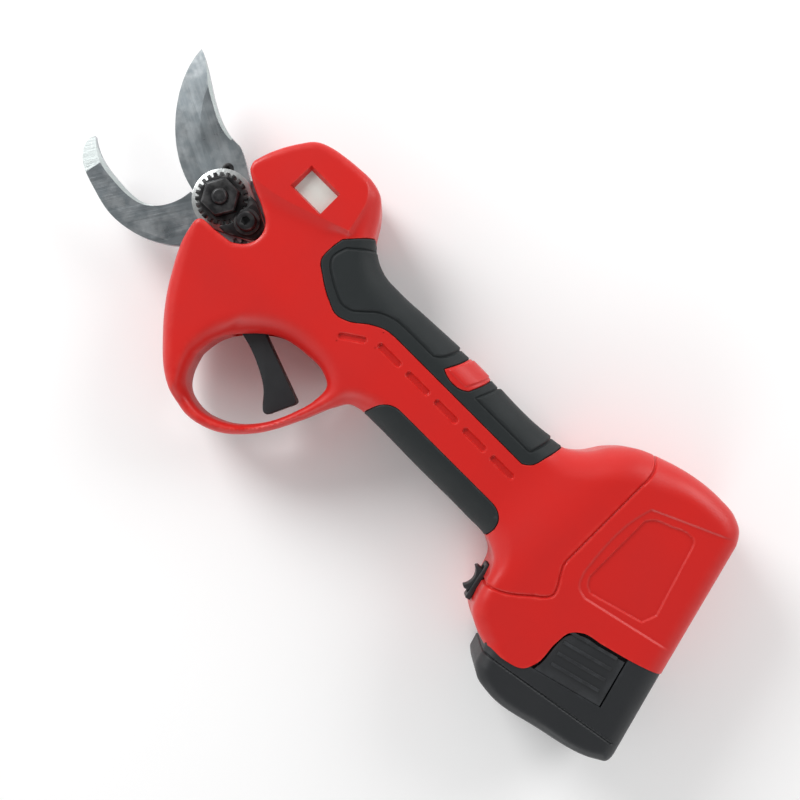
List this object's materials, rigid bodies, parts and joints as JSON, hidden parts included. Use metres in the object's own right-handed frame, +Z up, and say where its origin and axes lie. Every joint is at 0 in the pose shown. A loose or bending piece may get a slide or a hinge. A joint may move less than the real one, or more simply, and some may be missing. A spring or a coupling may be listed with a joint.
{
  "type": "battery electric pruner",
  "caption": "Hand-held battery pruner with a hooked fixed blade, gear-driven moving blade, finger guard, trigger and slide-out battery pack.",
  "frame": {"origin": "under the middle of the tool, on the face it lies on", "axes": "+X from the blades towards the battery, +Y towards the spine of the handle, +Z up through the display side"},
  "size_m": [0.2979, 0.1168, 0.0434],
  "materials": {
    "red_shell": "satin moulded, coloured through",
    "grip_rubber": "soft overmould, fine matt grain",
    "black_plastic": "fine matt grain",
    "blade_steel": "ground lengthwise, satin",
    "plate_steel": "zinc plated, satin",
    "black_steel": "black oxide",
    "window": "clear pane over a grey-green display",
    "display": "display module and green board",
    "gear_casting": "die cast",
    "gear_steel": "machined",
    "motor_steel": "zinc plated",
    "board": "green board",
    "cell_wrap": "shrink wrapped cells",
    "contact": "plated contacts"
  },
  "bodies": {
    "handle": {"bearings": "gear_steel", "blade_screws": "black_steel", "control_board": "board", "cover_plate": "plate_steel", "display_board": "display", "display_window": "window", "fixed_blade": "blade_steel", "gear_case": "gear_casting", "gearbox": "motor_steel", "housing_screws": "black_steel", "left_housing": "red_shell", "lock_disc": "black_steel", "lock_screw": "black_steel", "lock_tab": "black_steel", "motor": "motor_steel", "palm_grip": "grip_rubber", "pivot_bolt": "black_steel", "pivot_nut": "black_steel", "right_housing": "red_shell", "spine_grip": "grip_rubber", "switch_body": "black_plastic", "terminal_block": "black_plastic", "trigger_pin": "gear_steel", "trigger_sensor_board": "board", "trigger_spring": "gear_steel"},
    "blade": {"blade_dowel": "black_steel", "moving_blade": "blade_steel"},
    "drive_gear": {"bevel_gear": "gear_steel", "pinion_shaft": "gear_steel"},
    "drive_pinion": {"bevel_pinion": "gear_steel", "output_shaft": "gear_steel"},
    "trigger": {"trigger": "black_plastic"},
    "rocker": {"switch_rocker": "black_plastic"},
    "battery": {"battery_base": "black_plastic", "battery_board": "board", "battery_case": "black_plastic", "battery_contacts": "contact", "cells": "cell_wrap"},
    "latch_left": {"latch_left": "black_plastic"},
    "latch_right": {"latch_right": "black_plastic"}
  },
  "joints": [
    {"name": "blade_hinge", "type": "hinge", "parent": "handle", "child": "blade", "pos_m": [-0.095, 0.00745, 0.02372], "axis": [0, 0, 1], "range_deg": [0, 62]},
    {"name": "gear_spin", "type": "hinge", "parent": "handle", "child": "drive_gear", "pos_m": [-0.074, 0.00745, 0.01672], "axis": [0, 0, 1], "range_deg": [-200.4, 2]},
    {"name": "pinion_spin", "type": "hinge", "parent": "handle", "child": "drive_pinion", "pos_m": [-0.06, 0.00745, 0.02072], "axis": [1, 0, 0], "range_deg": [-399.8, 3]},
    {"name": "trigger_pull", "type": "hinge", "parent": "handle", "child": "trigger", "pos_m": [-0.0541, -0.01335, 0.02172], "axis": [0, 0, 1], "range_deg": [0, 12], "stiffness_Nm_per_rad": 0.25, "springref_deg": -14.32},
    {"name": "switch_rock", "type": "hinge", "parent": "handle", "child": "rocker", "pos_m": [0.0727, -0.02565, 0.02172], "axis": [0, 0, 1], "range_deg": [-9, 9]},
    {"name": "battery_slide", "type": "slide", "parent": "handle", "child": "battery", "axis": [0.2554, -0.9668, 0], "range_m": [0, 0.078]},
    {"name": "latch_left_press", "type": "hinge", "parent": "battery", "child": "latch_left", "pos_m": [0.11788, -0.02904, 0.04195], "axis": [-0.9668, -0.2554, 0], "range_deg": [0, 2], "stiffness_Nm_per_rad": 1},
    {"name": "latch_right_press", "type": "hinge", "parent": "battery", "child": "latch_right", "pos_m": [0.11788, -0.02904, 0.0015], "axis": [0.9668, 0.2554, 0], "range_deg": [0, 2], "stiffness_Nm_per_rad": 1}
  ],
  "couplings": [
    {"joint": "gear_spin", "follows": "blade_hinge", "ratio": -3.2},
    {"joint": "pinion_spin", "follows": "blade_hinge", "ratio": -6.4}
  ]
}
